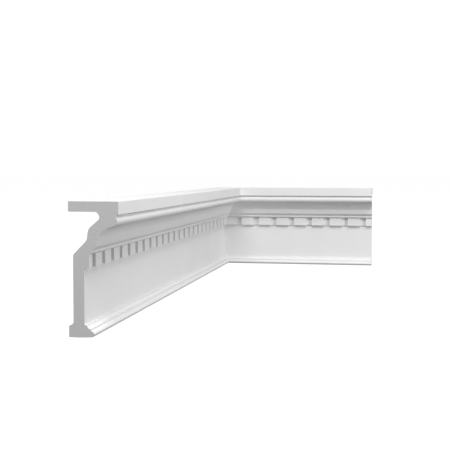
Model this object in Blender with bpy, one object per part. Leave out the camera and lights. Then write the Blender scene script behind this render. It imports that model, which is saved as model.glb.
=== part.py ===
"""Wall moulding with a row of dentils, two lengths mitred round an inside corner.

Every section is drawn as (depth, height): depth out from the back and height up
from the underside. A length is that section drawn along its back, starting at the
45 degree mitre and ending in a square cut.
"""
import math

import bmesh
import bpy
from mathutils import Vector

# The two lengths, measured along their backs from where the backs meet
LONG_LENGTH = 1.0070
SHORT_LENGTH = 0.3545
MITRE_JOINT = 0.0003

# Overall height; the plain frieze takes up what the crown and base leave
HEIGHT = 0.1725

# Shell: the body of the moulding and the air space behind it
WALL_SPACE = 0.0060
SHELL = 0.0146
FLANGE_THICKNESS = 0.0131
FOOT_HEIGHT = 0.0148

# Dentils
DENTIL_PITCH = 0.0400
DENTIL_GAP = 0.0131
DENTIL_HEIGHT = 0.0169
DENTIL_STEP = 0.0067
POCKET_DEPTH = 0.0044
CORNER_BLOCK = 0.0150

# Crown, each member's height and how far it steps out over the one below
FASCIA_HEIGHT = 0.0165
QUIRK_HEIGHT = 0.0028
QUIRK_STEP = 0.0046
BEAD_HEIGHT = 0.0109
BEAD_STEP = -0.0002
BEAD_SWELL = 0.0032
SOFFIT_HEIGHT = 0.0028
SOFFIT_STEP = 0.0088
COVE_HEIGHT = 0.0159
COVE_STEP = 0.0136
COVE_HOLLOW = 0.0030
COVE_LEG_HEIGHT = 0.0084
COVE_LEG_STEP = 0.0020
SPLAY_HEIGHT = 0.0046
SPLAY_STEP = 0.0055
FILLET_HEIGHT = 0.0031
FILLET_SPLAY_HEIGHT = 0.0023
FILLET_STEP = 0.0040

# Base moulding, heights above the underside and steps out from the frieze
LEDGE_LEVEL = 0.0160
LEDGE_STEP = 0.0032
CAVETTO_LEVEL = 0.0113
CAVETTO_STEP = 0.0050
CAVETTO_HOLLOW = 0.0016
OVOLO_LEVEL = 0.0088
OVOLO_STEP = 0.0046
OVOLO_SWELL = 0.0012
NOSE_LEVEL = 0.0040
NOSE_CHAMFER = 0.0022
TOE_LEVEL = 0.0010
BEARING_WIDTH = 0.0150

# Hollow back, where the shell turns behind the crown
FOOT_SPLAY = 0.0028
HOLLOW_LEAN = 0.0019
HOLLOW_RISE = 0.0143
CROWN_COVER = 0.0195
HOLLOW_BROW = 0.0082
HOLLOW_BROW_LEAN = 0.0034
FOOT_ROUND = 0.0040
KNEE_ROUND = 0.0060
WAIST_ROUND = 0.0090
BACK_ROUND = 0.0120
NOSE_ROUND = 0.0045
BROW_ROUND = 0.0060

# Facets of the large and small mouldings and of the rounds at the back
ARC_STEPS = 6
SMALL_ARC_STEPS = 3
ROUND_STEPS = 3

# Finish: white primer on a moulded foam
PRIMER_WHITE = (0.86, 0.86, 0.85, 1.0)
PRIMER_ROUGHNESS = 0.62

# Heights of the crown's edges, worked down from the top
FASCIA_FOOT = HEIGHT - FASCIA_HEIGHT
BEAD_TOP = FASCIA_FOOT - QUIRK_HEIGHT
BEAD_FOOT = BEAD_TOP - BEAD_HEIGHT
COVE_TOP = BEAD_FOOT - SOFFIT_HEIGHT
COVE_FOOT = COVE_TOP - COVE_HEIGHT
SPLAY_TOP = COVE_FOOT - COVE_LEG_HEIGHT
FILLET_TOP = SPLAY_TOP - SPLAY_HEIGHT
FILLET_FOOT = FILLET_TOP - FILLET_HEIGHT
DENTIL_TOP = FILLET_FOOT - FILLET_SPLAY_HEIGHT
DENTIL_FOOT = DENTIL_TOP - DENTIL_HEIGHT

# Depths of the crown's faces, worked out from the back
FRIEZE_DEPTH = WALL_SPACE + SHELL
DENTIL_DEPTH = FRIEZE_DEPTH + DENTIL_STEP
POCKET_FLOOR = DENTIL_DEPTH - POCKET_DEPTH
FILLET_DEPTH = DENTIL_DEPTH + FILLET_STEP
SPLAY_DEPTH = FILLET_DEPTH + SPLAY_STEP
COVE_FOOT_DEPTH = SPLAY_DEPTH + COVE_LEG_STEP
COVE_TOP_DEPTH = COVE_FOOT_DEPTH + COVE_STEP
BEAD_FOOT_DEPTH = COVE_TOP_DEPTH + SOFFIT_STEP
BEAD_TOP_DEPTH = BEAD_FOOT_DEPTH + BEAD_STEP
PROJECTION = BEAD_TOP_DEPTH + QUIRK_STEP

# Depths of the base moulding
LEDGE_DEPTH = FRIEZE_DEPTH + LEDGE_STEP
CAVETTO_DEPTH = LEDGE_DEPTH + CAVETTO_STEP
NOSE_DEPTH = CAVETTO_DEPTH + OVOLO_STEP
TOE_DEPTH = NOSE_DEPTH - NOSE_CHAMFER


def clear_scene():
    for thing in list(bpy.data.objects):
        bpy.data.objects.remove(thing, do_unlink=True)


def arc(start, end, swell, steps):
    """Points after start, up to end, on a circle that swells to the left of the way."""
    a = Vector(start)
    b = Vector(end)
    half = (b - a).length / 2.0
    radius = (half * half + swell * swell) / (2.0 * abs(swell))
    side = math.copysign(1.0, swell)
    left = Vector((a.y - b.y, b.x - a.x)).normalized() * side
    centre = (a + b) / 2.0 - left * (radius - abs(swell))
    turn = 2.0 * math.asin(min(1.0, half / radius))
    spoke = a - centre
    points = []
    for step in range(1, steps + 1):
        angle = -side * turn * step / steps
        c, s = math.cos(angle), math.sin(angle)
        points.append((centre.x + c * spoke.x - s * spoke.y,
                       centre.y + s * spoke.x + c * spoke.y))
    points[-1] = tuple(end)
    return points


def rounded(before, corner, after, radius):
    """Points of the arc that rounds a corner between two straight runs."""
    p = Vector(corner)
    to_before = (Vector(before) - p).normalized()
    to_after = (Vector(after) - p).normalized()
    opening = to_before.angle(to_after)
    reach = radius / math.tan(opening / 2.0)
    start = p + to_before * reach
    end = p + to_after * reach
    centre = p + (to_before + to_after).normalized() * (radius / math.sin(opening / 2.0))
    spoke = start - centre
    turn = spoke.angle_signed(end - centre)
    points = []
    for step in range(ROUND_STEPS + 1):
        angle = -turn * step / ROUND_STEPS
        c, s = math.cos(angle), math.sin(angle)
        points.append((centre.x + c * spoke.x - s * spoke.y,
                       centre.y + s * spoke.x + c * spoke.y))
    return points


def crown_profile():
    """Crown of the section, from the top arris at the back down to the cove's foot."""
    bead_foot = (BEAD_FOOT_DEPTH, BEAD_FOOT)
    cove_foot = (COVE_FOOT_DEPTH, COVE_FOOT)
    points = [(0.0, HEIGHT), (PROJECTION, HEIGHT), (PROJECTION, FASCIA_FOOT)]
    points.append((BEAD_TOP_DEPTH, BEAD_TOP))
    points += arc(points[-1], bead_foot, BEAD_SWELL, ARC_STEPS)
    points.append((COVE_TOP_DEPTH, COVE_TOP))
    points += arc(points[-1], cove_foot, -COVE_HOLLOW, ARC_STEPS)
    return points


def fillet_profile():
    """Splay and fillet of the section, down to the top of the dentils' front."""
    return [(SPLAY_DEPTH, SPLAY_TOP), (FILLET_DEPTH, FILLET_TOP),
            (FILLET_DEPTH, FILLET_FOOT), (DENTIL_DEPTH, DENTIL_TOP)]


def base_profile():
    """Base of the section, from the foot of the frieze down to the underside."""
    cavetto_foot = (CAVETTO_DEPTH, CAVETTO_LEVEL)
    nose = (NOSE_DEPTH, NOSE_LEVEL)
    points = [(FRIEZE_DEPTH, LEDGE_LEVEL), (LEDGE_DEPTH, LEDGE_LEVEL)]
    points += arc(points[-1], cavetto_foot, -CAVETTO_HOLLOW, SMALL_ARC_STEPS)
    points.append((CAVETTO_DEPTH, OVOLO_LEVEL))
    points += arc(points[-1], nose, OVOLO_SWELL, SMALL_ARC_STEPS)
    points += [(TOE_DEPTH, TOE_LEVEL), (BEARING_WIDTH, 0.0), (0.0, 0.0)]
    return points


def back_profile():
    """Hollow back of the section, from the foot up to the underside of the flange."""
    heel = (0.0, FOOT_HEIGHT)
    instep = (WALL_SPACE, FOOT_HEIGHT + FOOT_SPLAY)
    knee = (WALL_SPACE, DENTIL_TOP)
    waist = (COVE_FOOT_DEPTH - SHELL, COVE_FOOT)
    back = (waist[0] + HOLLOW_LEAN, waist[1] + HOLLOW_RISE)
    roof = HEIGHT - FLANGE_THICKNESS
    nose = (BEAD_FOOT_DEPTH - CROWN_COVER, roof - HOLLOW_BROW)
    brow = (nose[0] - HOLLOW_BROW_LEAN, roof)
    heel_top = (0.0, roof)
    points = [heel]
    points += rounded(heel, instep, knee, FOOT_ROUND)
    points += rounded(instep, knee, waist, KNEE_ROUND)
    points += rounded(knee, waist, back, WAIST_ROUND)
    points += rounded(waist, back, nose, BACK_ROUND)
    points += rounded(back, nose, brow, NOSE_ROUND)
    points += rounded(nose, brow, heel_top, BROW_ROUND)
    points.append(heel_top)
    return points


def on_long_wall(depth, height, along):
    return Vector((depth, -along, height))


def on_short_wall(depth, height, along):
    return Vector((along, -depth, height))


def pocket_sides(length):
    """Where the two sides of every pocket lie, measured from the corner.

    The pockets are set out from the square end, which cuts a dentil in half.
    """
    nearest = DENTIL_DEPTH + CORNER_BLOCK + DENTIL_GAP / 2.0
    sides = []
    centre = length - DENTIL_PITCH / 2.0
    while centre > nearest:
        sides = [centre - DENTIL_GAP / 2.0, centre + DENTIL_GAP / 2.0] + sides
        centre -= DENTIL_PITCH
    return sides


def moulding(name, length, place, parent):
    """One length: the section run from the mitre to its square end.

    A row holds the vertices along the run at one point of the section, and faces
    lie between a row and the next. The rows from the splay to the top of the frieze
    have vertices at every pocket's sides, the others at the two ends alone.
    """
    joint = MITRE_JOINT / 2.0 * math.sqrt(2.0)
    build = bmesh.new()

    def row(point, stations):
        depth, height = point
        return [build.verts.new(place(depth, height, max(along, depth + joint)))
                for along in stations]

    # The mitre cuts every row short, so a station at 0 lands on it
    ends = (0.0, length)
    sides = pocket_sides(length)
    stations = (0.0, *sides, length)
    crown = [row(point, ends) for point in crown_profile()]
    crown += [row(point, stations) for point in fillet_profile()]
    top = crown[-1]
    foot = row((DENTIL_DEPTH, DENTIL_FOOT), stations)
    under = row((POCKET_FLOOR, DENTIL_FOOT), stations)
    rest = [under, row((FRIEZE_DEPTH, DENTIL_FOOT), stations)]
    rest += [row(point, ends) for point in base_profile() + back_profile()]
    for rows in (crown, rest + crown[:1]):
        for upper, lower in zip(rows, rows[1:]):
            if len(upper) != len(lower):
                build.faces.new(upper + lower[::-1])
                continue
            for k in range(len(upper) - 1):
                build.faces.new((upper[k], upper[k + 1], lower[k + 1], lower[k]))

    # Each dentil's front and underside
    for k in range(0, len(sides) + 1, 2):
        build.faces.new((top[k], top[k + 1], foot[k + 1], foot[k]))
        build.faces.new((foot[k], foot[k + 1], under[k + 1], under[k]))
    # Each pocket's ceiling, floor and two sides
    for k in range(1, len(sides), 2):
        near, far = row((POCKET_FLOOR, DENTIL_TOP), stations[k:k + 2])
        build.faces.new((top[k], top[k + 1], far, near))
        build.faces.new((near, far, under[k + 1], under[k]))
        build.faces.new((top[k], near, under[k], foot[k]))
        build.faces.new((top[k + 1], far, under[k + 1], foot[k + 1]))

    outline = crown + [foot] + rest
    for end in (0, -1):
        build.faces.new([each[end] for each in outline])
    bmesh.ops.recalc_face_normals(build, faces=build.faces)
    bmesh.ops.triangulate(build, faces=[f for f in build.faces if len(f.verts) > 4])

    mesh = bpy.data.meshes.new(name)
    build.to_mesh(mesh)
    build.free()
    thing = bpy.data.objects.new(name, mesh)
    bpy.context.scene.collection.objects.link(thing)
    thing.parent = parent
    return thing


def primed_foam():
    material = bpy.data.materials.new("primed_foam")
    material.use_nodes = True
    shader = material.node_tree.nodes["Principled BSDF"]
    shader.inputs["Base Color"].default_value = PRIMER_WHITE
    shader.inputs["Roughness"].default_value = PRIMER_ROUGHNESS
    return material


def room_corner():
    """Empty where the two backs meet, level with the underside.

    It puts the world's origin halfway along the back of the long length's foot.
    """
    corner = bpy.data.objects.new("room_corner", None)
    bpy.context.scene.collection.objects.link(corner)
    corner.location = (0.0, LONG_LENGTH / 2.0, -FOOT_HEIGHT / 2.0)
    return corner


def main():
    clear_scene()
    corner = room_corner()
    finish = primed_foam()
    runs = (("long_length", LONG_LENGTH, on_long_wall),
            ("short_length", SHORT_LENGTH, on_short_wall))
    for name, length, place in runs:
        thing = moulding(name, length, place, corner)
        thing.data.materials.append(finish)


main()
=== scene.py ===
"""Looks of a polyurethane dentil moulding, two lengths mitred round an inside corner.

Sections are drawn in millimetres as (depth, height): depth out from the back and
height up from the underside. A length is its section carried along its back, from
the mitre to a square end. The frame is in metres.
"""

import math

import bmesh
import bpy
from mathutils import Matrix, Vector


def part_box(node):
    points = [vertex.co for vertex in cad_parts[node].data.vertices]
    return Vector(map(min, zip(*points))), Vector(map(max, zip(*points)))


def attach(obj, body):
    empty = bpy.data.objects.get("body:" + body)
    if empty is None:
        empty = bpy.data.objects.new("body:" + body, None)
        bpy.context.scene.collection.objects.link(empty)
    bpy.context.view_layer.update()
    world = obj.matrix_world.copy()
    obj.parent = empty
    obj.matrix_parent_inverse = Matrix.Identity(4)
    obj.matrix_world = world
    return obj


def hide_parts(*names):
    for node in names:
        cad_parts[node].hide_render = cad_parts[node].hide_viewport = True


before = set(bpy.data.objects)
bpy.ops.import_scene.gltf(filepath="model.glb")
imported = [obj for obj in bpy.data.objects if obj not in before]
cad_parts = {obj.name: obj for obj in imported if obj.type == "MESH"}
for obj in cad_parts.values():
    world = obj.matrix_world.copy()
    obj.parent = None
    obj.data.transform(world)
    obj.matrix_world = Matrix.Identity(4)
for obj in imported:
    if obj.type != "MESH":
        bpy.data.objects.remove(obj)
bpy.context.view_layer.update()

MM = 0.001
LONG_LOW, LONG_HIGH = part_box("long_length")
SHORT_LOW, SHORT_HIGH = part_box("short_length")
# Where the two backs meet, level with the underside
CORNER = Vector((LONG_LOW.x, SHORT_HIGH.y, LONG_LOW.z))
LONG_RUN = (CORNER.y - LONG_LOW.y) / MM
SHORT_RUN = (SHORT_HIGH.x - CORNER.x) / MM
TOP_LEVEL = (LONG_HIGH.z - CORNER.z) / MM
PROJECTION = (LONG_HIGH.x - CORNER.x) / MM

# Half the hairline between the two lengths at the mitre, measured along the back
MITRE_HAIRLINE = 0.03

# Dentils
DENTIL_PITCH = 40.0
DENTIL_GAP = 13.1
DENTIL_HEIGHT = 16.9
DENTIL_STEP = 6.7
POCKET_DEPTH = 4.4
POCKET_DRAFT = 0.25
CORNER_BLOCK = 15.0

# Mouldings from the top arris down: name, step forward, drop, swell of the curve and
# the radius that eases the corner at its foot
CROWN = (
    ("fascia", 0.0, 16.5, 0.0, 0.35),
    ("quirk_soffit", -4.6, 2.0, 0.0, 0.12),
    ("quirk", 0.0, 0.8, 0.0, 0.12),
    ("bead", 0.2, 10.9, 3.2, 0.35),
    ("bead_soffit", -8.8, 2.8, 0.0, 0.35),
    ("cove", -13.6, 15.9, -3.0, 0.35),
    ("cove_leg", -2.0, 8.4, 0.0, 0.35),
    ("splay", -5.5, 4.6, 0.0, 0.25),
    ("fillet", 0.0, 3.1, 0.0, 0.35),
    ("fillet_splay", -4.0, 2.3, 0.0, 0.20),
)
BASE = (
    ("ledge", 3.2, 0.0, 0.0, 0.40),
    ("cavetto", 5.0, 4.7, -1.6, 0.30),
    ("base_fillet", 0.0, 2.5, 0.0, 0.20),
    ("ovolo", 4.6, 4.8, 1.2, 0.40),
    ("nose_chamfer", -2.2, 3.0, 0.0, 0.40),
)
LEDGE_LEVEL = 16.0
BEARING_WIDTH = 15.0
# How far out the dentils' fronts and the frieze lie
DENTIL_DEPTH = PROJECTION + sum(step for _, step, _, _, _ in CROWN)
FRIEZE_DEPTH = DENTIL_DEPTH - DENTIL_STEP

# Hollow back: corners as (depth, height, radius) from the foot up to the flange
HOLLOW_BACK = (
    (0.0, 14.8, 1.2),
    (6.0, 17.6, 4.0),
    (6.0, 105.2, 6.0),
    (24.2, 123.6, 9.0),
    (26.1, 137.9, 12.0),
    (41.7, 151.2, 4.5),
    (38.3, 159.4, 6.0),
    (0.0, 159.4, 1.2),
)

# Arrises of a moulding that comes out of a mould are never quite sharp
ARRIS = 0.40
ARRIS_STEPS = 3
CURVE_STEPS = 12
# A corner with a radius under this is turned in the few steps of an arris
SMALL_RADIUS = 2.0
NEARLY_STRAIGHT = math.radians(179.0)
SHARPEST_SMOOTH = math.radians(50.0)
# Points of the mesh closer than this are one point
WELD = 0.002

# Narrow steps darkened with painted shade (quirk, ledge and base fillet): top, foot and
# how much painted shade each takes, from 0 to 1
QUIRK_TOP = TOP_LEVEL - CROWN[0][2]
FILLET_TOP = LEDGE_LEVEL - BASE[1][2]
PAINTED_SHADE_STEPS = (
    (QUIRK_TOP, QUIRK_TOP - CROWN[1][2] - CROWN[2][2], 1.0),
    (LEDGE_LEVEL + ARRIS, LEDGE_LEVEL - ARRIS / 2.0, 0.5),
    (FILLET_TOP, FILLET_TOP - BASE[2][2], 0.4),
)

# Finishes, in the order that a piece holds them
PRIMED, SKIN, SAWN = range(3)
# Size of the marks in each finish, and how deep they are, in millimetres
GUN_PASS = 70.0
COAT_RIPPLE = 9.0
RIPPLE_RELIEF = 0.02
SKIN_CLOUD = 25.0
BUBBLE_SPACING = 5.0
BUBBLE_RELIEF = 0.25
FOAM_CELL = 1.2
SAW_STROKE = 1.5
SAW_STROKE_LENGTH = 60.0
SAWN_RELIEF = 0.10

# The camera that took the photograph, worked back from the moulding's own edges: place
# from CORNER in metres, turn in degrees, lens and film width in millimetres
CAMERA_PLACE = (0.4044, -2.1278, 0.2108)
CAMERA_TURN = (86.685, -0.044, 10.30)
CAMERA_LENS = 74.8
FILM_WIDTH = 36.0

# Lights: name, place from CORNER, width and height in metres, and watts
LIGHTS = (
    ("wide_above_front", (0.10, -2.15, 1.80), 0.90, 0.20, 23.5),
    ("above_right", (0.90, -1.10, 1.51), 0.35, 0.35, 10.4),
    ("low_right", (1.50, -0.80, 0.26), 0.35, 0.35, 8.7),
    ("above_back", (-0.50, 0.40, 2.20), 0.60, 0.60, 11.0),
)
LIT_POINT = Vector((0.10, -0.35, 0.08))
# Light of the surroundings from above and from below the horizon, and the band where
# one turns into the other, as a share of the way up
SKY_LIGHT = 0.41
GROUND_LIGHT = 0.18
HORIZON_BAND = 0.05
# The floor reaches this many metres each way, and lies so many millimetres under the piece
FLOOR_REACH = 60.0
FLOOR_GAP = 0.1
FLOOR_GLOW = 0.85
WHITE = (1.0, 1.0, 1.0, 1.0)


def hex_colour(code):
    """A colour written as an sRGB hex value, turned to linear."""
    channels = [int(code[i:i + 2], 16) / 255.0 for i in (1, 3, 5)]
    return tuple(c / 12.92 if c <= 0.04045 else ((c + 0.055) / 1.055) ** 2.4
                 for c in channels) + (1.0,)


def curve(start, end, swell):
    """Points between start and end on an arc that swells to the left of the way."""
    a, b = Vector(start), Vector(end)
    half = (b - a).length / 2.0
    radius = (half * half + swell * swell) / (2.0 * abs(swell))
    side = math.copysign(1.0, swell)
    left = Vector((a.y - b.y, b.x - a.x)).normalized() * side
    centre = (a + b) / 2.0 - left * (radius - abs(swell))
    turn = 2.0 * math.asin(min(1.0, half / radius))
    spoke = a - centre
    points = []
    for step in range(1, CURVE_STEPS):
        angle = -side * turn * step / CURVE_STEPS
        c, s = math.cos(angle), math.sin(angle)
        points.append((centre.x + c * spoke.x - s * spoke.y,
                       centre.y + s * spoke.x + c * spoke.y, 0.0))
    return points


def mouldings(start, table):
    """Corners after start that follow a table of mouldings downwards."""
    corners = []
    here = start
    for _, step, drop, swell, radius in table:
        end = (here[0] + step, here[1] - drop)
        if swell:
            corners += curve(here, end, swell)
        corners.append((*end, radius))
        here = end
    return corners


def eased(corners, closed=True):
    """Outline through corners of (x, y, radius), each turned on its own radius."""
    count = len(corners)
    outline = []
    for i, (x, y, radius) in enumerate(corners):
        p = Vector((x, y))
        if radius == 0.0 or (not closed and i in (0, count - 1)):
            outline.append(p)
            continue
        before = (Vector(corners[i - 1][:2]) - p).normalized()
        after = (Vector(corners[(i + 1) % count][:2]) - p).normalized()
        steps = ARRIS_STEPS if radius < SMALL_RADIUS else CURVE_STEPS
        opening = before.angle(after)
        if opening > NEARLY_STRAIGHT:
            outline += [p] * (steps + 1)
            continue
        reach = radius / math.tan(opening / 2.0)
        centre = p + (before + after).normalized() * (radius / math.sin(opening / 2.0))
        spoke = p + before * reach - centre
        turn = spoke.angle_signed(p + after * reach - centre)
        for step in range(steps + 1):
            angle = -turn * step / steps
            c, s = math.cos(angle), math.sin(angle)
            outline.append(Vector((centre.x + c * spoke.x - s * spoke.y,
                                   centre.y + s * spoke.x + c * spoke.y)))
    return outline


def section(band_depth):
    """The section with its dentil band at a depth, and from which point it is bare skin.

    It runs clockwise from the top arris. With the band at the dentils' fronts or at a
    pocket's floor it has the same number of points, so the two can be blended.
    """
    crown = mouldings((PROJECTION, TOP_LEVEL), CROWN)
    band_top = crown[-1][1]
    band_foot = band_top - DENTIL_HEIGHT
    # At a dentil this corner would fall on the crown's last one, so it lies a little lower
    upper = band_top if band_depth < DENTIL_DEPTH else band_top - 2.0 * ARRIS
    corners = [(0.0, TOP_LEVEL, ARRIS), (PROJECTION, TOP_LEVEL, ARRIS)] + crown
    corners += [(band_depth, upper, ARRIS), (band_depth, band_foot, ARRIS)]
    corners += [(FRIEZE_DEPTH, band_foot, ARRIS), (FRIEZE_DEPTH, LEDGE_LEVEL, ARRIS)]
    corners += mouldings((FRIEZE_DEPTH, LEDGE_LEVEL), BASE)
    corners += [(BEARING_WIDTH, 0.0, ARRIS), (0.0, 0.0, ARRIS)]
    skin_from = len(eased(corners, closed=False)) - 1
    corners += HOLLOW_BACK
    return eased(corners), skin_from


def stations(run):
    """(along, how far into a pocket from 0 to 1) of every cut through a length."""
    half = DENTIL_GAP / 2.0
    centres = []
    along = run - DENTIL_PITCH / 2.0
    while along > DENTIL_DEPTH + CORNER_BLOCK + half:
        centres.insert(0, along)
        along -= DENTIL_PITCH
    line = [(0.0, 0.0, 0.0)]
    for centre in centres:
        line += [(centre - half, 0.0, ARRIS),
                 (centre - half + POCKET_DRAFT, POCKET_DEPTH, ARRIS),
                 (centre + half - POCKET_DRAFT, POCKET_DEPTH, ARRIS),
                 (centre + half, 0.0, ARRIS)]
    line.append((run, 0.0, 0.0))
    return [(p.x, p.y / POCKET_DEPTH) for p in eased(line, closed=False)]


def on_long_side(depth, height, along):
    return CORNER + Vector((depth, -along, height)) * MM


def on_short_side(depth, height, along):
    return CORNER + Vector((along, -depth, height)) * MM


def painted_shade_at(height):
    """How much painted shade a height of the section takes, from 0 to 1."""
    return max([0.0] + [darkening for top, foot, darkening in PAINTED_SHADE_STEPS if foot <= height <= top])


def moulding_length(name, run, place, finishes):
    """One length as a closed mesh, with its pockets and eased arrises.

    Each face keeps how much painted shade it takes: the narrow steps, the pockets' sides
    and the level faces above and below the dentil band are darkened where shade falls.
    """
    dentil, skin_from = section(DENTIL_DEPTH)
    pocket, _ = section(DENTIL_DEPTH - POCKET_DEPTH)
    in_band = [at_dentil != at_pocket for at_dentil, at_pocket in zip(dentil, pocket)]
    painted_shade = [painted_shade_at(point.y) for point in dentil]
    build = bmesh.new()
    # How much painted shade each face takes, for the primer to darken it
    painted_recess_shade = build.faces.layers.float.new("painted_recess_shade")
    line = stations(run)
    cuts = []
    for along, inward in line:
        cut = []
        for at_dentil, at_pocket in zip(dentil, pocket):
            depth, height = at_dentil.lerp(at_pocket, inward)
            cut.append(build.verts.new(place(depth, height, max(along, depth + MITRE_HAIRLINE))))
        cuts.append(cut)
    count = len(dentil)
    for k, (cut, following) in enumerate(zip(cuts, cuts[1:])):
        turned = abs(line[k + 1][1] - line[k][1])
        for i in range(count):
            j = (i + 1) % count
            face = build.faces.new((cut[i], cut[j], following[j], following[i]))
            # Painted shade: pockets' sides by how far they turn, faces joining the band to the rest
            # fully, the narrow steps by their share
            if in_band[i] and in_band[j]:
                face[painted_recess_shade] = turned
            elif in_band[i] or in_band[j]:
                face[painted_recess_shade] = 1.0
            else:
                face[painted_recess_shade] = min(painted_shade[i], painted_shade[j])
            face.material_index = SKIN if i >= skin_from else PRIMED
            face.smooth = True
    for cut in (cuts[0], cuts[-1]):
        build.faces.new(cut).material_index = SAWN
    bmesh.ops.remove_doubles(build, verts=build.verts, dist=WELD * MM)
    bmesh.ops.recalc_face_normals(build, faces=build.faces)
    for edge in build.edges:
        one_finish = len({face.material_index for face in edge.link_faces}) == 1
        edge.smooth = one_finish and edge.calc_face_angle() < SHARPEST_SMOOTH
    mesh = bpy.data.meshes.new(name)
    build.to_mesh(mesh)
    build.free()
    for finish in finishes:
        mesh.materials.append(finish)
    piece = bpy.data.objects.new(name, mesh)
    bpy.context.scene.collection.objects.link(piece)
    flats = piece.modifiers.new("flat_faces_stay_flat", 'WEIGHTED_NORMAL')
    flats.mode = 'FACE_AREA'
    flats.keep_sharp = True
    return piece


def across(size):
    """Scale of a pattern whose marks are so many millimetres apart."""
    return 1.0 / (size * MM)


def add_node(tree, kind, settings=None, links=None):
    """A node with its settings, by attribute or input name, and links into its inputs."""
    node = tree.nodes.new(kind)
    for name, value in (settings or {}).items():
        if hasattr(node, name):
            setattr(node, name, value)
        else:
            node.inputs[name].default_value = value
    for name, source in (links or {}).items():
        tree.links.new(source, node.inputs[name])
    return node


def new_material(name):
    """A material, its tree, its shader and the tree's place on the piece in metres."""
    material = bpy.data.materials.new(name)
    material.use_nodes = True
    tree = material.node_tree
    place = add_node(tree, "ShaderNodeTexCoord").outputs["Object"]
    return material, tree, tree.nodes["Principled BSDF"], place


def primed_polyurethane():
    """Polyurethane cast in a polished mould and sprayed with a white water-based primer.

    To the eye: one even white, matt, with a faint sheen that wavers from pass to pass
    of the spray gun and a soft ripple in the coat, with painted shade in the narrow steps
    and the dentils' pockets.
    """
    material, tree, shader, place = new_material("polyurethane, cast and sprayed with white primer")
    # The gun's passes overlap about every 70 mm; where they do the coat is whiter and smoother
    passes = add_node(tree, "ShaderNodeTexNoise", {"Scale": across(GUN_PASS), "Detail": 1.0},
                      {"Vector": place})
    # Ripples of a sprayed coat are 1 to 3 mm; drawn at 9 mm, or the camera would lose them
    ripple = add_node(tree, "ShaderNodeTexNoise", {"Scale": across(COAT_RIPPLE), "Detail": 0.0},
                      {"Vector": place})
    whiteness = add_node(tree, "ShaderNodeMapRange", {"To Min": 0.97, "To Max": 1.02},
                         {"Value": passes.outputs["Fac"]})
    coat = add_node(tree, "ShaderNodeHueSaturation", {"Color": hex_colour("#E8E8E8")},
                    {"Value": whiteness.outputs["Result"]})
    # Painted shade: faces marked as lying in a recess are darkened, down to 0.87 of the coat's
    # colour
    painted_shade = add_node(tree, "ShaderNodeAttribute", {"attribute_name": "painted_recess_shade"})
    shade_factor = add_node(tree, "ShaderNodeMapRange", {"To Min": 1.0, "To Max": 0.87},
                     {"Value": painted_shade.outputs["Fac"]})
    colour = add_node(tree, "ShaderNodeHueSaturation",
                      links={"Color": coat.outputs["Color"], "Value": shade_factor.outputs["Result"]})
    sheen = add_node(tree, "ShaderNodeMapRange", {"To Min": 0.68, "To Max": 0.52},
                     {"Value": passes.outputs["Fac"]})
    relief = add_node(tree, "ShaderNodeBump", {"Strength": 1.0, "Distance": RIPPLE_RELIEF * MM},
                      {"Height": ripple.outputs["Fac"]})
    tree.links.new(colour.outputs["Color"], shader.inputs["Base Color"])
    tree.links.new(sheen.outputs["Result"], shader.inputs["Roughness"])
    tree.links.new(relief.outputs["Normal"], shader.inputs["Normal"])
    return material


def moulded_skin():
    """Bare skin of the same casting on the open side of the mould, unprimed.

    To the eye: creamier and duller than the primer, clouded, with the round pits that
    burst bubbles leave.
    """
    material, tree, shader, place = new_material(
        "polyurethane, bare skin from the open side of the mould")
    clouds = add_node(tree, "ShaderNodeTexNoise", {"Scale": across(SKIN_CLOUD), "Detail": 3.0},
                      {"Vector": place})
    # One bubble to every 5 mm or so, its pit up to 2 mm wide
    bubbles = add_node(tree, "ShaderNodeTexVoronoi", {"Scale": across(BUBBLE_SPACING)},
                       {"Vector": place})
    pits = add_node(tree, "ShaderNodeMapRange", {"From Min": 0.05, "From Max": 0.22},
                    {"Value": bubbles.outputs["Distance"]})
    cloudiness = add_node(tree, "ShaderNodeMapRange", {"To Min": 0.90, "To Max": 1.04},
                          {"Value": clouds.outputs["Fac"]})
    colour = add_node(tree, "ShaderNodeHueSaturation", {"Color": hex_colour("#E6E3DA")},
                      {"Value": cloudiness.outputs["Result"]})
    dullness = add_node(tree, "ShaderNodeMapRange", {"To Min": 0.88, "To Max": 0.66},
                        {"Value": clouds.outputs["Fac"]})
    relief = add_node(tree, "ShaderNodeBump", {"Strength": 1.0, "Distance": BUBBLE_RELIEF * MM},
                      {"Height": pits.outputs["Result"]})
    tree.links.new(colour.outputs["Color"], shader.inputs["Base Color"])
    tree.links.new(dullness.outputs["Result"], shader.inputs["Roughness"])
    tree.links.new(relief.outputs["Normal"], shader.inputs["Normal"])
    return material


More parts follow.
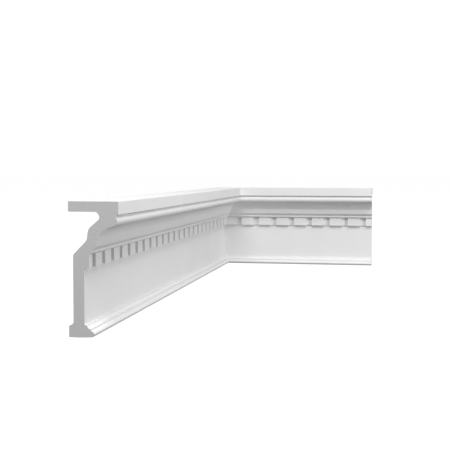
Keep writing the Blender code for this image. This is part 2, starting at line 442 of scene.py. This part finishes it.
def sawn_foam():
    """Rigid foam core where a fine-toothed saw has cut it square, left bare.

    To the eye: a dry, even grey, because light is lost in the open cells, with faint level
    strokes of the saw.
    """
    material, tree, shader, place = new_material("polyurethane, foam core sawn square")
    # Cells of such a foam are about 0.3 mm; drawn at 1.2 mm, about the finest the camera shows
    cells = add_node(tree, "ShaderNodeTexVoronoi", {"Scale": across(FOAM_CELL)}, {"Vector": place})
    # Teeth leave a stroke every 1.5 mm up the cut, each running level across it
    level = across(SAW_STROKE_LENGTH)
    stretch = add_node(tree, "ShaderNodeMapping", {"Scale": (level, level, across(SAW_STROKE))},
                       {"Vector": place})
    strokes = add_node(tree, "ShaderNodeTexNoise", {"Scale": 1.0, "Detail": 2.0},
                       {"Vector": stretch.outputs["Vector"]})
    openness = add_node(tree, "ShaderNodeMapRange", {"To Min": 0.88, "To Max": 1.04},
                        {"Value": cells.outputs["Distance"]})
    colour = add_node(tree, "ShaderNodeHueSaturation", {"Color": hex_colour("#E0E0E0")},
                      {"Value": openness.outputs["Result"]})
    grooves = add_node(tree, "ShaderNodeBump", {"Strength": 1.0, "Distance": SAWN_RELIEF * MM},
                       {"Height": strokes.outputs["Fac"]})
    relief = add_node(tree, "ShaderNodeBump", {"Strength": 1.0, "Distance": SAWN_RELIEF * MM},
                      {"Height": cells.outputs["Distance"], "Normal": grooves.outputs["Normal"]})
    tree.links.new(colour.outputs["Color"], shader.inputs["Base Color"])
    tree.links.new(relief.outputs["Normal"], shader.inputs["Normal"])
    shader.inputs["Roughness"].default_value = 0.9
    return material


def camera():
    data = bpy.data.cameras.new("camera")
    data.sensor_width = FILM_WIDTH
    data.lens = CAMERA_LENS
    view = bpy.data.objects.new("camera", data)
    bpy.context.scene.collection.objects.link(view)
    view.location = CORNER + Vector(CAMERA_PLACE)
    view.rotation_euler = [math.radians(angle) for angle in CAMERA_TURN]
    bpy.context.scene.camera = view


def surroundings():
    """White to the camera, and softer light from above than from below."""
    world = bpy.data.worlds.new("studio")
    bpy.context.scene.world = world
    world.use_nodes = True
    tree = world.node_tree
    tree.nodes.clear()
    way = add_node(tree, "ShaderNodeTexCoord")
    rise = add_node(tree, "ShaderNodeSeparateXYZ", links={"Vector": way.outputs["Generated"]})
    strength = add_node(tree, "ShaderNodeMapRange",
                        {"From Min": -HORIZON_BAND, "From Max": HORIZON_BAND,
                         "To Min": GROUND_LIGHT, "To Max": SKY_LIGHT},
                        {"Value": rise.outputs["Z"]})
    light = add_node(tree, "ShaderNodeBackground", {"Color": WHITE},
                     {"Strength": strength.outputs["Result"]})
    seen = add_node(tree, "ShaderNodeBackground", {"Color": WHITE, "Strength": 1.0})
    path = add_node(tree, "ShaderNodeLightPath")
    mix = add_node(tree, "ShaderNodeMixShader")
    tree.links.new(path.outputs["Is Camera Ray"], mix.inputs[0])
    tree.links.new(light.outputs[0], mix.inputs[1])
    tree.links.new(seen.outputs[0], mix.inputs[2])
    add_node(tree, "ShaderNodeOutputWorld", links={"Surface": mix.outputs[0]})


def lights():
    for name, place, width, height, watts in LIGHTS:
        lamp = bpy.data.lights.new(name, 'AREA')
        lamp.shape = 'RECTANGLE'
        lamp.size = width
        lamp.size_y = height
        lamp.energy = watts
        thing = bpy.data.objects.new(name, lamp)
        bpy.context.scene.collection.objects.link(thing)
        thing.location = CORNER + Vector(place)
        thing.rotation_euler = (Vector(place) - LIT_POINT).to_track_quat('Z', 'Y').to_euler()
        thing.visible_camera = False


def pale_floor():
    """A floor that glows enough to run into the white around it."""
    mesh = bpy.data.meshes.new("studio_floor")
    level = CORNER.z - FLOOR_GAP * MM
    corners = [(x * FLOOR_REACH, y * FLOOR_REACH, level)
               for x, y in ((-1, -1), (1, -1), (1, 1), (-1, 1))]
    mesh.from_pydata(corners, [], [(0, 1, 2, 3)])
    floor = bpy.data.objects.new("studio_floor", mesh)
    bpy.context.scene.collection.objects.link(floor)
    material, _, shader, _ = new_material("floor, white light table")
    shader.inputs["Base Color"].default_value = hex_colour("#A0A0A0")
    shader.inputs["Roughness"].default_value = 0.9
    shader.inputs["Specular IOR Level"].default_value = 0.0
    shader.inputs["Emission Color"].default_value = WHITE
    shader.inputs["Emission Strength"].default_value = FLOOR_GLOW
    mesh.materials.append(material)
    # The moulding is fixed high up in use, with nothing under it to send light up, so the
    # floor's glow neither lights it nor counts as a lamp
    material.cycles.emission_sampling = 'NONE'
    floor.visible_diffuse = False
    floor.visible_glossy = False


bpy.context.scene.view_settings.view_transform = 'Standard'
camera()
surroundings()
lights()
pale_floor()
finishes = (primed_polyurethane(), moulded_skin(), sawn_foam())
lengths = (
    ("long_moulding", "long_length", LONG_RUN, on_long_side),
    ("short_moulding", "short_length", SHORT_RUN, on_short_side),
)
for name, node, run, place in lengths:
    piece = moulding_length(name, run, place, finishes)
    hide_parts(node)
    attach(piece, "root")
